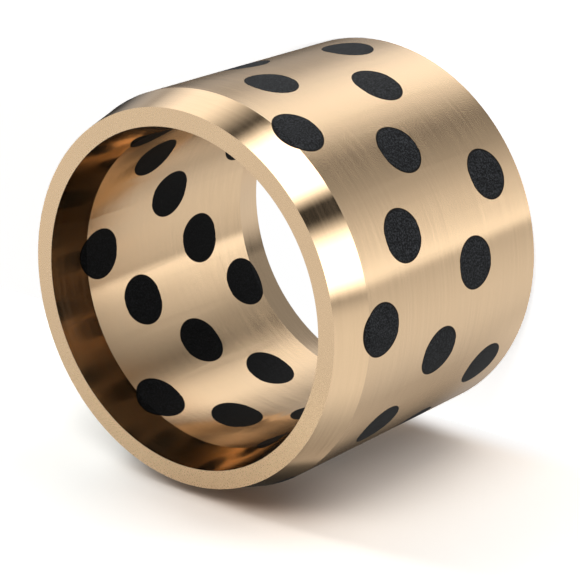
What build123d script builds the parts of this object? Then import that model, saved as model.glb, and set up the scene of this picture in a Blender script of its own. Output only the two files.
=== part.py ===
from build123d import *
import os
from math import cos, radians, sin, tan

os.makedirs("parts", exist_ok=True)

# A graphite plugged bushing, in millimetres: a turned bronze sleeve whose wall is drilled through
# in staggered rows, with a graphite plug glued into every hole and machined flush with both faces.
# +Z runs along the bore. The sleeve stands on its plain end with the lead-in end up, and the
# origin is the centre of the plain end's face.

# Sleeve
bore_radius = 20.0
wall_thickness = 5.0
length = 40.0
# The lead-in is a long shallow chamfer round the outside of the end that is pressed in first.
lead_in_length = 5.0
lead_in_angle = 15.0
# Both mouths of the bore open out for the shaft.
mouth_length = 5.0
mouth_angle = 15.0
# The plain end's outer corner is only broken.
corner_chamfer = 1.0

# Graphite plugs
row_count = 5
plugs_per_row = 6
row_turn = -22.5
end_to_first_row = 7.3
plug_hole_radius = 3.25
glue_line = 0.03

outer_radius = bore_radius + wall_thickness
mouth_radius = bore_radius + mouth_length * tan(radians(mouth_angle))
lead_in_face_radius = outer_radius - lead_in_length * tan(radians(lead_in_angle))
row_pitch = (length - 2 * end_to_first_row) / (row_count - 1)
plug_spacing = 360 / plugs_per_row
# The revolved wall's seam runs through the middle of a third-row hole, clear of every hole's edge.
seam_angle = 2 * row_turn + plug_spacing

# Half section of the wall, from the bore round by the plain end, the outside and the lead-in end.
with BuildSketch(Plane.XZ.rotated((0, 0, seam_angle))) as wall_section:
    with BuildLine():
        Polyline(
            (bore_radius, mouth_length),
            (mouth_radius, 0),
            (outer_radius - corner_chamfer, 0),
            (outer_radius, corner_chamfer),
            (outer_radius, length - lead_in_length),
            (lead_in_face_radius, length),
            (mouth_radius, length),
            (bore_radius, length - mouth_length),
            close=True,
        )
    make_face()


def plug_seat(row, place):
    """The plane on the outside at a plug's centre, facing outwards. Rows count up from the plain end."""
    angle = radians(row * row_turn + place * plug_spacing)
    outwards = (cos(angle), sin(angle), 0)
    height = end_to_first_row + row * row_pitch
    centre = (outer_radius * outwards[0], outer_radius * outwards[1], height)
    return Plane(origin=centre, x_dir=(0, 0, 1), z_dir=outwards)


plug_seats = {
    f"graphite_plug_row{row + 1}_{place + 1}": plug_seat(row, place)
    for row in range(row_count)
    for place in range(plugs_per_row)
}

# The sleeve is turned all over, then drilled from the outside through to the bore.
with BuildPart() as bronze_sleeve:
    revolve(wall_section.sketch, axis=Axis.Z)
    with Locations(*plug_seats.values()):
        Hole(radius=plug_hole_radius, depth=outer_radius)
bronze_sleeve.part.label = "bronze_sleeve"
export_step(bronze_sleeve.part, "parts/bronze_sleeve.step")

# Each plug fills its hole, and its two ends follow the sleeve's outside and bore.
for name, seat in plug_seats.items():
    with BuildPart() as graphite_plug:
        revolve(wall_section.sketch, axis=Axis.Z)
        with BuildSketch(seat):
            Circle(plug_hole_radius - glue_line)
        extrude(amount=-outer_radius, mode=Mode.INTERSECT)
    graphite_plug.part.label = name
    export_step(graphite_plug.part, f"parts/{name}.step")
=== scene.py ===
from math import cos, pi, radians, sin, tan

import bpy
from mathutils import Matrix, Vector

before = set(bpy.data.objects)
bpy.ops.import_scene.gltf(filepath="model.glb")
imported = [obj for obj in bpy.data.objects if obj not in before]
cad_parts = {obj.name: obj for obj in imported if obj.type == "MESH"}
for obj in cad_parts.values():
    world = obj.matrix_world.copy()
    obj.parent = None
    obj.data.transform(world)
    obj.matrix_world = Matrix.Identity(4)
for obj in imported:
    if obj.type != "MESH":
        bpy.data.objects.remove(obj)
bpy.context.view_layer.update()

# ------------------------------------------------------------------------------------------------
# The bronze sleeve. It is one casting, turned, faced, bored and chamfered on a lathe, so every
# surface carries fine rings from the tool. Then it is drilled through for the plugs. The packed
# model holds its true shape, so it keeps that mesh and takes a turned bronze finish.
# ------------------------------------------------------------------------------------------------
MM = 0.001
sleeve_length = 40 * MM
outer_radius = 25 * MM
bore_radius = 20 * MM
wall_middle_radius = 22.5 * MM
chamfer_length = 5 * MM
plug_rows = 5
first_row_height = 7.3 * MM
row_pitch = 6.35 * MM
row_turn = radians(-22.5)
plug_spacing = radians(60)
plug_hole_radius = 3.25 * MM


def feed(tree, sockets, terms):
    """Give each socket its term: a number, a colour, or another node's output."""
    for socket, term in zip(sockets, terms):
        if isinstance(term, bpy.types.NodeSocket):
            tree.links.new(term, socket)
        elif isinstance(term, tuple):
            socket.default_value = (*term, 1)
        else:
            socket.default_value = term


def calc(tree, operation, *terms):
    """One Math node. Each term is a number or another node's output."""
    node = tree.nodes.new("ShaderNodeMath")
    node.operation = operation
    feed(tree, node.inputs, terms)
    return node.outputs[0]


def product(tree, first, *others):
    """All the terms multiplied."""
    for other in others:
        first = calc(tree, "MULTIPLY", first, other)
    return first


def root_of_squares(tree, first, second):
    """The length of the diagonal over two lengths at right angles."""
    squares = (calc(tree, "MULTIPLY", side, side) for side in (first, second))
    return calc(tree, "SQRT", calc(tree, "ADD", *squares))


def fade(tree, value, start, end, start_value=0.0, end_value=1.0):
    """A smooth change from start_value to end_value as value goes from start to end."""
    node = tree.nodes.new("ShaderNodeMapRange")
    node.interpolation_type = "SMOOTHSTEP"
    feed(tree, node.inputs, (value, start, end, start_value, end_value))
    return node.outputs[0]


def scaled(tree, vector, size):
    """Coordinates in units of size."""
    node = tree.nodes.new("ShaderNodeVectorMath")
    node.operation = "SCALE"
    feed(tree, (node.inputs[0], node.inputs["Scale"]), (vector, 1 / size))
    return node.outputs[0]


def grain(tree, vector, detail, roughness=0.5):
    """Noise from 0 to 1, its features one unit of vector across."""
    node = tree.nodes.new("ShaderNodeTexNoise")
    sockets = (node.inputs[name] for name in ("Vector", "Scale", "Detail", "Roughness"))
    feed(tree, sockets, (vector, 1.0, detail, roughness))
    return node.outputs["Fac"]


def tint(tree, dark, light, factor):
    """A colour between dark and light."""
    node = tree.nodes.new("ShaderNodeMix")
    node.data_type = "RGBA"
    feed(tree, (node.inputs[0], *node.inputs[6:8]), (factor, dark, light))
    return node.outputs[2]


def bump(tree, shader, pattern, strength, depth):
    """Fine relief on the shader, depth high where the pattern is 1."""
    node = tree.nodes.new("ShaderNodeBump")
    sockets = (node.inputs[name] for name in ("Height", "Strength", "Distance"))
    feed(tree, sockets, (pattern, strength, depth))
    tree.links.new(node.outputs[0], shader.inputs["Normal"])


def new_finish(name):
    """A new material, its nodes and its shader."""
    finish = bpy.data.materials.new(name)
    finish.use_nodes = True
    return finish, finish.node_tree, finish.node_tree.nodes["Principled BSDF"]


def lathe_place(tree):
    """Where a point is on the bushing: its coordinates, and its radius, angle and height."""
    point = tree.nodes.new("ShaderNodeTexCoord").outputs["Object"]
    split = tree.nodes.new("ShaderNodeSeparateXYZ")
    tree.links.new(point, split.inputs[0])
    x, y, height = split.outputs
    return point, x, y, root_of_squares(tree, x, y), calc(tree, "ARCTAN2", y, x), height


def rings(tree, x, y, radius, height, width, length, detail):
    """Noise drawn out into rings round the axis, by their width and the length of their streaks."""
    join = tree.nodes.new("ShaderNodeCombineXYZ")
    turns = wall_middle_radius / length
    feed(tree, join.inputs, (
        calc(tree, "MULTIPLY", calc(tree, "DIVIDE", x, radius), turns),
        calc(tree, "MULTIPLY", calc(tree, "DIVIDE", y, radius), turns),
        calc(tree, "DIVIDE", calc(tree, "ADD", radius, height), width),
    ))
    return grain(tree, join.outputs[0], detail)


def plug_axis_distance(tree, radius, angle, height):
    """How far a point is from the axis of the nearest plug. Rows count up from the plain end."""
    row = calc(tree, "DIVIDE", calc(tree, "SUBTRACT", height, first_row_height), row_pitch)
    row = calc(tree, "MAXIMUM", calc(tree, "ROUND", row), 0)
    row = calc(tree, "MINIMUM", row, plug_rows - 1)
    row_height = calc(tree, "MULTIPLY_ADD", row, row_pitch, first_row_height)
    above = calc(tree, "SUBTRACT", height, row_height)
    turn = calc(tree, "SUBTRACT", angle, calc(tree, "MULTIPLY", row, row_turn))
    turn = calc(tree, "WRAP", turn, plug_spacing / 2, -plug_spacing / 2)
    beside = calc(tree, "MULTIPLY", radius, calc(tree, "SINE", turn))
    return root_of_squares(tree, above, beside)


turned_bronze, tree, shader = new_finish("turned_bronze")
point, x, y, radius, angle, height = lathe_place(tree)
shader.inputs["Metallic"].default_value = 1.0

# Light streaks along the axis, across the tool's rings.
shader.inputs["Anisotropic"].default_value = 0.9
shader.inputs["Anisotropic Rotation"].default_value = 0.25
tangent = tree.nodes.new("ShaderNodeTangent")
tangent.direction_type = "RADIAL"
tangent.axis = "Z"
tree.links.new(tangent.outputs[0], shader.inputs["Tangent"])

# The tool marks are rings on the turned surfaces, coarser in the bore, and an even fine grain on
# the faces.
margin = 0.001 * MM
bore_margin = 0.01 * MM
from_middle = calc(tree, "ABSOLUTE", calc(tree, "SUBTRACT", height, sleeve_length / 2))
face = calc(tree, "GREATER_THAN", from_middle, sleeve_length / 2 - margin)
bore_wall = calc(tree, "LESS_THAN", radius, bore_radius + bore_margin)
outer_rings = rings(tree, x, y, radius, height, width=0.34 * MM, length=11 * MM, detail=2)
bore_rings = rings(tree, x, y, radius, height, width=0.5 * MM, length=6 * MM, detail=2)
fine_rings = fade(tree, bore_wall, 0, 1, outer_rings, bore_rings)
face_grain = grain(tree, scaled(tree, point, 0.2 * MM), detail=2)
tool_marks = fade(tree, face, 0, 1, fine_rings, face_grain)
broad_rings = rings(tree, x, y, radius, height, width=1.6 * MM, length=40 * MM, detail=1)

groove_bronze = (0.735, 0.525, 0.325)
ridge_bronze = (0.865, 0.632, 0.401)
broad_ring_bronze = (0.82, 0.585, 0.355)
broad_ring_share = 0.4
bronze_colour = tint(tree, groove_bronze, ridge_bronze, tool_marks)
broad_rings = calc(tree, "MULTIPLY", broad_rings, broad_ring_share)
bronze_colour = tint(tree, bronze_colour, broad_ring_bronze, broad_rings)

# A dark line of glue shows round each plug.
glue_brown = (0.055, 0.042, 0.03)
glue_dark_to = plug_hole_radius + 0.03 * MM
glue_gone_at = plug_hole_radius + 0.11 * MM
from_plug = plug_axis_distance(tree, radius, angle, height)
glue_line = fade(tree, from_plug, glue_dark_to, glue_gone_at, 1.0, 0.0)
bronze_colour = tint(tree, bronze_colour, glue_brown, glue_line)
tree.links.new(bronze_colour, shader.inputs["Base Color"])

# The chamfers are cut last, with a finer feed, and the faces are left with a plain facing cut.
groove_roughness = 0.155
ridge_extra = 0.09
chamfer_extra = -0.09
face_extra = 0.17
past_wall = calc(tree, "GREATER_THAN", from_middle, sleeve_length / 2 - chamfer_length + margin)
outer_half = calc(tree, "GREATER_THAN", radius, wall_middle_radius)
plain_half = calc(tree, "LESS_THAN", height, sleeve_length / 2)
not_plain_outside = calc(tree, "SUBTRACT", 1, calc(tree, "MULTIPLY", outer_half, plain_half))
chamfer = calc(tree, "MULTIPLY", past_wall, not_plain_outside)
roughness = calc(tree, "MULTIPLY_ADD", tool_marks, ridge_extra, groove_roughness)
roughness = calc(tree, "MULTIPLY_ADD", chamfer, chamfer_extra, roughness)
roughness = calc(tree, "MULTIPLY_ADD", face, face_extra, roughness)
tree.links.new(roughness, shader.inputs["Roughness"])
bump(tree, shader, tool_marks, strength=0.6, depth=0.002 * MM)

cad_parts["bronze_sleeve"].material_slots[0].material = turned_bronze

# ------------------------------------------------------------------------------------------------
# The graphite plugs. Each is a short rod pressed from graphite powder and glued into its hole,
# and it is turned with the sleeve, so its two ends follow the outside and the bore. The packed
# model holds all thirty, and they share one finish of fine dark grain.
# ------------------------------------------------------------------------------------------------
pressed_graphite, tree, shader = new_finish("pressed_graphite")
point, x, y, radius, angle, height = lathe_place(tree)

# The powder's grain, with fainter patches over it.
low_black = (0.001, 0.0011, 0.0012)
high_grey = (0.038, 0.0405, 0.044)
patch_grey = (0.009, 0.0095, 0.0105)
patch_share = 0.3
low_below = 0.41
high_above = 0.68
powder = grain(tree, scaled(tree, point, 0.2 * MM), detail=3, roughness=0.7)
patches = grain(tree, scaled(tree, point, 1.4 * MM), detail=2)
patches = calc(tree, "MULTIPLY", patches, patch_share)
graphite_colour = tint(tree, low_black, high_grey, fade(tree, powder, low_below, high_above))
graphite_colour = tint(tree, graphite_colour, patch_grey, patches)

# The edge is dark with glue. The ends in the bore carry painted shade, darker than those outside,
# as they sit deep in the bore.
rim_black = (0.005, 0.004, 0.0035)
bore_end_painted_shade = (0.0, 0.0, 0.0)
bore_end_shade_share = 0.7
rim_from = plug_hole_radius - 0.22 * MM
rim_full_at = plug_hole_radius - 0.05 * MM
from_plug = plug_axis_distance(tree, radius, angle, height)
rim = fade(tree, from_plug, rim_from, rim_full_at)
graphite_colour = tint(tree, graphite_colour, rim_black, rim)
# Painted shade: the plug ends inside the bore are darkened.
in_bore = calc(tree, "LESS_THAN", radius, wall_middle_radius)
bore_end = calc(tree, "MULTIPLY", in_bore, bore_end_shade_share)
graphite_colour = tint(tree, graphite_colour, bore_end_painted_shade, bore_end)
tree.links.new(graphite_colour, shader.inputs["Base Color"])

low_roughness = 0.38
high_extra = 0.3
roughness = calc(tree, "MULTIPLY_ADD", powder, high_extra, low_roughness)
tree.links.new(roughness, shader.inputs["Roughness"])
shader.inputs["Specular IOR Level"].default_value = 0.06
bump(tree, shader, powder, strength=0.5, depth=0.01 * MM)

for name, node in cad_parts.items():
    if name.startswith("graphite_plug"):
        node.material_slots[0].material = pressed_graphite

# ------------------------------------------------------------------------------------------------
# The camera. It looks down at the lead-in end and into the bore. It is rolled so that the bushing
# seems to lie on its side, with the side board below it.
# ------------------------------------------------------------------------------------------------
upwards = Vector((cos(radians(-60)), sin(radians(-60)), 0))
camera_place = Vector((-105.55, -167.34, 234.31)) * MM
camera_aim = Vector((-2.93, 2.40, 20.50)) * MM
back = (camera_place - camera_aim).normalized()
right = upwards.cross(back).normalized()
camera_data = bpy.data.cameras.new("camera")
camera_data.sensor_width = 36
camera_data.lens = 143.55
camera = bpy.data.objects.new("camera", camera_data)
bpy.context.scene.collection.objects.link(camera)
camera_turn = Matrix((right, back.cross(right), back)).transposed().to_4x4()
camera.matrix_world = Matrix.Translation(camera_place) @ camera_turn
bpy.context.scene.camera = camera
bpy.context.scene.view_settings.view_transform = "Standard"

# ------------------------------------------------------------------------------------------------
# The stage. The bushing stands on a white floor, and its side rests against a white board, which
# is the ground below it as the camera is rolled. Both take its shadow and turn to plain white a
# little way off. They hide no light from the bushing, which reflects only parts of the board.
# ------------------------------------------------------------------------------------------------
stage_size = 4.0
stage_gap = 0.01 * MM
plain_from = 60 * MM
plain_to = 90 * MM


def white_board(name, facing, distance):
    """A wide plane that looks in the facing direction, a distance behind the bushing's origin."""
    bpy.ops.object.select_all(action="DESELECT")
    bpy.ops.mesh.primitive_plane_add(size=stage_size)
    board = bpy.context.object
    board.name = name
    turn = facing.to_track_quat("Z", "X").to_matrix().to_4x4()
    board.data.transform(Matrix.Translation(-distance * facing) @ turn)
    board.visible_diffuse = False
    board.visible_transmission = False
    board.visible_shadow = False
    return board


def layer(tree, factor, under, over):
    """One shader over another, by factor."""
    mix = tree.nodes.new("ShaderNodeMixShader")
    feed(tree, mix.inputs, (factor, under, over))
    return mix.outputs[0]


def added(tree, first, second):
    """Two shaders added."""
    sum_of_both = tree.nodes.new("ShaderNodeAddShader")
    feed(tree, sum_of_both.inputs, (first, second))
    return sum_of_both.outputs[0]


def glowing(tree, strength):
    """Plain white that glows by itself. At a strength of 1 it is pure white."""
    glow = tree.nodes.new("ShaderNodeEmission")
    feed(tree, (glow.inputs["Strength"],), (strength,))
    return glow.outputs[0]


def white_paint(name, colour, least):
    """
    White that shows a shadow, no darker than least, and turns plain away from the bushing. The
    colour is worked out by a function of the nodes, x, y and height.
    """
    paint, tree, unused_shader = new_finish(name)
    tree.nodes.remove(unused_shader)
    point, x, y, radius, angle, height = lathe_place(tree)
    length = tree.nodes.new("ShaderNodeVectorMath")
    length.operation = "LENGTH"
    tree.links.new(point, length.inputs[0])
    plainness = fade(tree, length.outputs["Value"], plain_from, plain_to)
    shaded = tree.nodes.new("ShaderNodeBsdfDiffuse")
    feed(tree, (shaded.inputs["Color"],), (colour(tree, x, y, height),))
    lightened = added(tree, shaded.outputs[0], glowing(tree, least))
    plain = glowing(tree, 1.0)
    return paint, tree, layer(tree, plainness, lightened, plain), plain, x, y, radius, height


def aside_of(tree, x, y):
    """How far a point is towards the side that the bushing's shadow falls on."""
    shadow_side = radians(210)
    along_x = calc(tree, "MULTIPLY", x, cos(shadow_side))
    return calc(tree, "ADD", along_x, calc(tree, "MULTIPLY", y, sin(shadow_side)))


def floor_colour(tree, x, y, height):
    """White that is bright enough to keep the shadow on it faint."""
    return (1.5, 1.5, 1.5)


def side_board_painted_shade(tree, x, y, height):
    """White with painted warm shade near the bushing, mostly in its shadow, and a darker painted
    shadow along the contact towards the lead-in end.
    """
    plain_white = (1.0, 1.0, 0.97)
    painted_warm_shade = (1.0, 0.88, 0.78)
    painted_shadow_core = (0.5, 0.36, 0.27)
    aside = aside_of(tree, x, y)
    # Painted warm shade beside the bushing, mostly on the side its shadow falls on.
    near = product(
        tree,
        fade(tree, aside, 10 * MM, 52 * MM, 1.0, 0.0),
        fade(tree, aside, -16 * MM, 8 * MM),
        fade(tree, height, 36 * MM, 60 * MM, 1.0, 0.0),
    )
    # A darker painted shadow along the contact, towards the lead-in end.
    close = product(
        tree,
        fade(tree, aside, 6 * MM, 22 * MM, 1.0, 0.0),
        fade(tree, aside, -16 * MM, 4 * MM),
        fade(tree, height, 22 * MM, 36 * MM),
        fade(tree, height, 36 * MM, 42 * MM, 1.0, 0.0),
    )
    return tint(tree, tint(tree, plain_white, painted_warm_shade, near), painted_shadow_core, close)


# The floor is plain inside the sleeve, where it shows through the bore.
floor_least = 0.4
floor = white_board("floor", Vector((0, 0, 1)), stage_gap)
floor.visible_glossy = False
paint, tree, surface, plain, x, y, radius, height = white_paint(
    "floor_white", floor_colour, floor_least
)
surface = layer(tree, calc(tree, "LESS_THAN", radius, wall_middle_radius), surface, plain)
tree.links.new(surface, tree.nodes["Material Output"].inputs["Surface"])
floor.data.materials.append(paint)

# The side board is plain past the plain end, and clear from behind.
side_board_least = 0.0
side_board = white_board("side_board", upwards, outer_radius + stage_gap)
# Besides the shadow it takes, its paint carries painted shade near the bushing.
paint, tree, surface, plain, x, y, radius, height = white_paint(
    "side_board_white", side_board_painted_shade, side_board_least
)
surface = layer(tree, fade(tree, height, -1 * MM, 6 * MM, 1.0, 0.0), surface, plain)
path = tree.nodes.new("ShaderNodeLightPath")
reflected = path.outputs["Is Glossy Ray"]
clear = tree.nodes.new("ShaderNodeBsdfTransparent").outputs[0]
behind = tree.nodes.new("ShaderNodeNewGeometry").outputs["Backfacing"]

# The end face reflects the part above the lead-in end, a little darker than it is.
darker_low_down = 0.34
darker_high_up = 0.16
darker = fade(tree, height, 54 * MM, 92 * MM, darker_low_down, darker_high_up)
surface = layer(tree, calc(tree, "MULTIPLY", reflected, darker), surface, glowing(tree, 0.0))

# Below the lead-in end's face it is clear to reflections. Close to the bushing it glows for short
# reflected rays only, a painted reflection standing for the light on the ground past the plain end.
painted_reflection_brightness = 0.33
past_end = calc(tree, "ADD", height, aside_of(tree, x, y))
# The painted reflection: a glow that only short reflected rays near the bushing see.
painted_reflection_glow = product(
    tree,
    fade(tree, past_end, 6 * MM, 20 * MM, painted_reflection_brightness, 0.0),
    fade(tree, path.outputs["Ray Length"], 24 * MM, 38 * MM, 1.0, 0.0),
)
beside = calc(tree, "MULTIPLY", reflected, calc(tree, "LESS_THAN", height, sleeve_length))
surface = layer(tree, beside, surface, added(tree, clear, glowing(tree, painted_reflection_glow)))
surface = layer(tree, behind, surface, clear)
tree.links.new(surface, tree.nodes["Material Output"].inputs["Surface"])
side_board.data.materials.append(paint)

# ------------------------------------------------------------------------------------------------
# The light. A studio of soft panels stands round the bushing. Each panel is given by the azimuths
# where it starts, is full, starts to fade and is gone, the elevations likewise, and its
# brightness. Angles are in degrees, and azimuths go from +X towards +Y and on past 360.
# ------------------------------------------------------------------------------------------------
panels = (
    ("floor glow", (88, 168, 199, 219), (-66, -58, -14, -6), 0.66),
    ("steep floor glow", (86, 128, 168, 222), (-91, -90, -66, -58), 0.58),
    ("floor sheen", (105, 160, 172, 206), (-91, -90, -44, -34), 0.16),
    ("low floor glow", (72, 96, 106, 150), (-91, -90, -50, -42), 0.12),
    ("near floor sheen", (135, 165, 188, 222), (-36, -28, -14, -6), 0.25),
    ("side light", (206, 209, 212, 300), (-68, -60, -28, -22), 0.95),
    ("side light edge", (206, 209, 212, 230), (-68, -60, -28, -22), 0.25),
    ("side box", (208, 221, 231, 251), (-28, -23, -10, -4), 2.6),
    ("overhead box", (256, 268, 292, 312), (-28, -23, -10, -4), 2.6),
    ("overhead light", (276, 325, 340, 370), (-68, -60, -51, -44), 1.58),
    ("low overhead light", (272, 306, 315, 338), (-50, -44, -40, -34), 1.25),
    ("far light", (308, 336, 348, 371), (-45, -37, -14, -4), 1.35),
    ("far glow", (352, 365, 372, 394), (-91, -90, -14, -4), 0.34),
    ("near far glow", (365, 374, 384, 402), (-44, -38, -14, -4), 0.15),
    ("low glow", (206, 218, 352, 365), (-91, -90, -68, -60), 0.28),
    ("bore light", (105, 114, 127, 141), (-46, -42, -36, -30), 0.55),
    ("end light", (15, 35, 90, 110), (30, 45, 72, 85), 1.0),
)
# More light that shows only in reflections: the hearts of the two boxes, and what the bronze
# shows of the room above the horizon.
reflected_panels = (
    ("side box heart", (208, 221, 229, 249), (-28, -23, -10, -4), 1.0),
    ("overhead box heart", (260, 270, 292, 310), (-28, -23, -10, -4), 1.0),
    ("upper floor side", (88, 168, 196, 210), (-10, 0, 90, 91), 0.66),
    ("upper near side", (204, 209, 212, 300), (-10, 0, 90, 91), 0.9),
    ("upper overhead side", (276, 322, 334, 366), (-10, 0, 90, 91), 1.2),
    ("upper far side", (352, 365, 400, 450), (-10, 0, 90, 91), 0.4),
)
room_brightness = 0.03
# Less light shows in the second reflection, only the side light in the third, and none after that.
second_share = 0.6
third_share = 1.9
# The bushing throws hardly any light of its own on the floor and the board.
thrown_lost = 0.9
# The light is warmer off the floor by the bushing's shadow, and after more than one reflection.
warm_floor = (50, 90, 100, 150)
white_light = (1.0, 1.0, 1.0)
warm_light = (1.09, 0.975, 0.83)

world = bpy.data.worlds.new("studio")
bpy.context.scene.world = world
world.use_nodes = True
tree = world.node_tree
background = tree.nodes["Background"]
path = tree.nodes.new("ShaderNodeLightPath")
reflected = path.outputs["Is Glossy Ray"]
split = tree.nodes.new("ShaderNodeSeparateXYZ")
tree.links.new(tree.nodes.new("ShaderNodeTexCoord").outputs["Generated"], split.inputs[0])
azimuth = calc(tree, "ARCTAN2", split.outputs["Y"], split.outputs["X"])
elevation = calc(tree, "ARCSINE", split.outputs["Z"])


def across(azimuths):
    """A panel's light by azimuth, from 0 to 1."""
    start, full, fading, gone = azimuths
    along = calc(tree, "SUBTRACT", azimuth, radians(start))
    along = calc(tree, "WRAP", along, radians(360), 0)
    rise = fade(tree, along, 0, radians(full - start))
    fall = fade(tree, along, radians(fading - start), radians(gone - start), 1.0, 0.0)
    return calc(tree, "MULTIPLY", rise, fall)


def panel_light(azimuths, elevations):
    """A panel's light, from 0 to 1."""
    low, low_full, high_full, high = (radians(edge) for edge in elevations)
    bottom = fade(tree, elevation, low, low_full)
    top = fade(tree, elevation, high_full, high, 1.0, 0.0)
    return product(tree, across(azimuths), bottom, top)


light = room_brightness
for name, azimuths, elevations, brightness in panels:
    panel = panel_light(azimuths, elevations)
    light = calc(tree, "MULTIPLY_ADD", panel, brightness, light)
    if name == "side light":
        side_light = calc(tree, "MULTIPLY", panel, brightness)
for name, azimuths, elevations, brightness in reflected_panels:
    panel = calc(tree, "MULTIPLY", panel_light(azimuths, elevations), reflected)
    light = calc(tree, "MULTIPLY_ADD", panel, brightness, light)

# How many surfaces the light meets on its way to the camera.
met = calc(tree, "SUBTRACT", path.outputs["Ray Depth"], path.outputs["Is Reflection Ray"])
light = calc(tree, "MULTIPLY", light, fade(tree, met, 1, 2, 1.0, second_share))
light = fade(tree, met, 2, 3, light, calc(tree, "MULTIPLY", side_light, third_share))
light = fade(tree, met, 3, 4, light, 0.0)
thrown = product(
    tree,
    fade(tree, path.outputs["Diffuse Depth"], 0, 1),
    calc(tree, "SUBTRACT", 1, path.outputs["Is Diffuse Ray"]),
    thrown_lost,
)
light = calc(tree, "MULTIPLY", light, calc(tree, "SUBTRACT", 1, thrown))

# The camera sees plain white.
plain_view = (path.outputs["Is Camera Ray"], path.outputs["Is Transmission Ray"])
seen = tree.nodes.new("ShaderNodeMix")
seen.data_type = "FLOAT"
feed(tree, (seen.inputs[0], *seen.inputs[2:4]), (calc(tree, "MAXIMUM", *plain_view), light, 1.0))
tree.links.new(seen.outputs[0], background.inputs["Strength"])
off_floor = calc(tree, "MULTIPLY", across(warm_floor), fade(tree, met, 0, 1))
warmth = calc(tree, "MAXIMUM", off_floor, fade(tree, met, 1, 2))
tree.links.new(tint(tree, white_light, warm_light, warmth), background.inputs["Color"])

# Four soft lamps throw the bushing's shadow on the board and the floor, and the bronze doesn't
# reflect them. Each is given by its azimuth and elevation, its width and height seen from the
# bushing, all in degrees, and its brightness.
lamp_distance = 2.0
lamps = (
    ("near lamp", 219, 28, 15, 15, 27.5),
    ("overhead lamp", 295, 32, 30, 30, 4.7),
    ("far lamp", 352, 2, 45, 22, 6.9),
    ("low lamp", 276, -25, 45, 12, 6.1),
)
for name, lamp_azimuth, lamp_elevation, wide, tall, brightness in lamps:
    lamp_data = bpy.data.lights.new(name, "AREA")
    lamp_data.shape = "RECTANGLE"
    lamp_data.size = 2 * lamp_distance * tan(radians(wide / 2))
    lamp_data.size_y = 2 * lamp_distance * tan(radians(tall / 2))
    lamp_data.energy = brightness * pi * lamp_data.size * lamp_data.size_y
    lamp = bpy.data.objects.new(name, lamp_data)
    bpy.context.scene.collection.objects.link(lamp)
    lamp_side = Vector((cos(radians(lamp_azimuth)), sin(radians(lamp_azimuth)), 0))
    outwards = (lamp_side + Vector((0, 0, tan(radians(lamp_elevation))))).normalized()
    lamp_turn = outwards.to_track_quat("Z", "Y").to_matrix().to_4x4()
    lamp.matrix_world = Matrix.Translation(outwards * lamp_distance) @ lamp_turn
    lamp.visible_camera = False
    lamp.visible_glossy = False
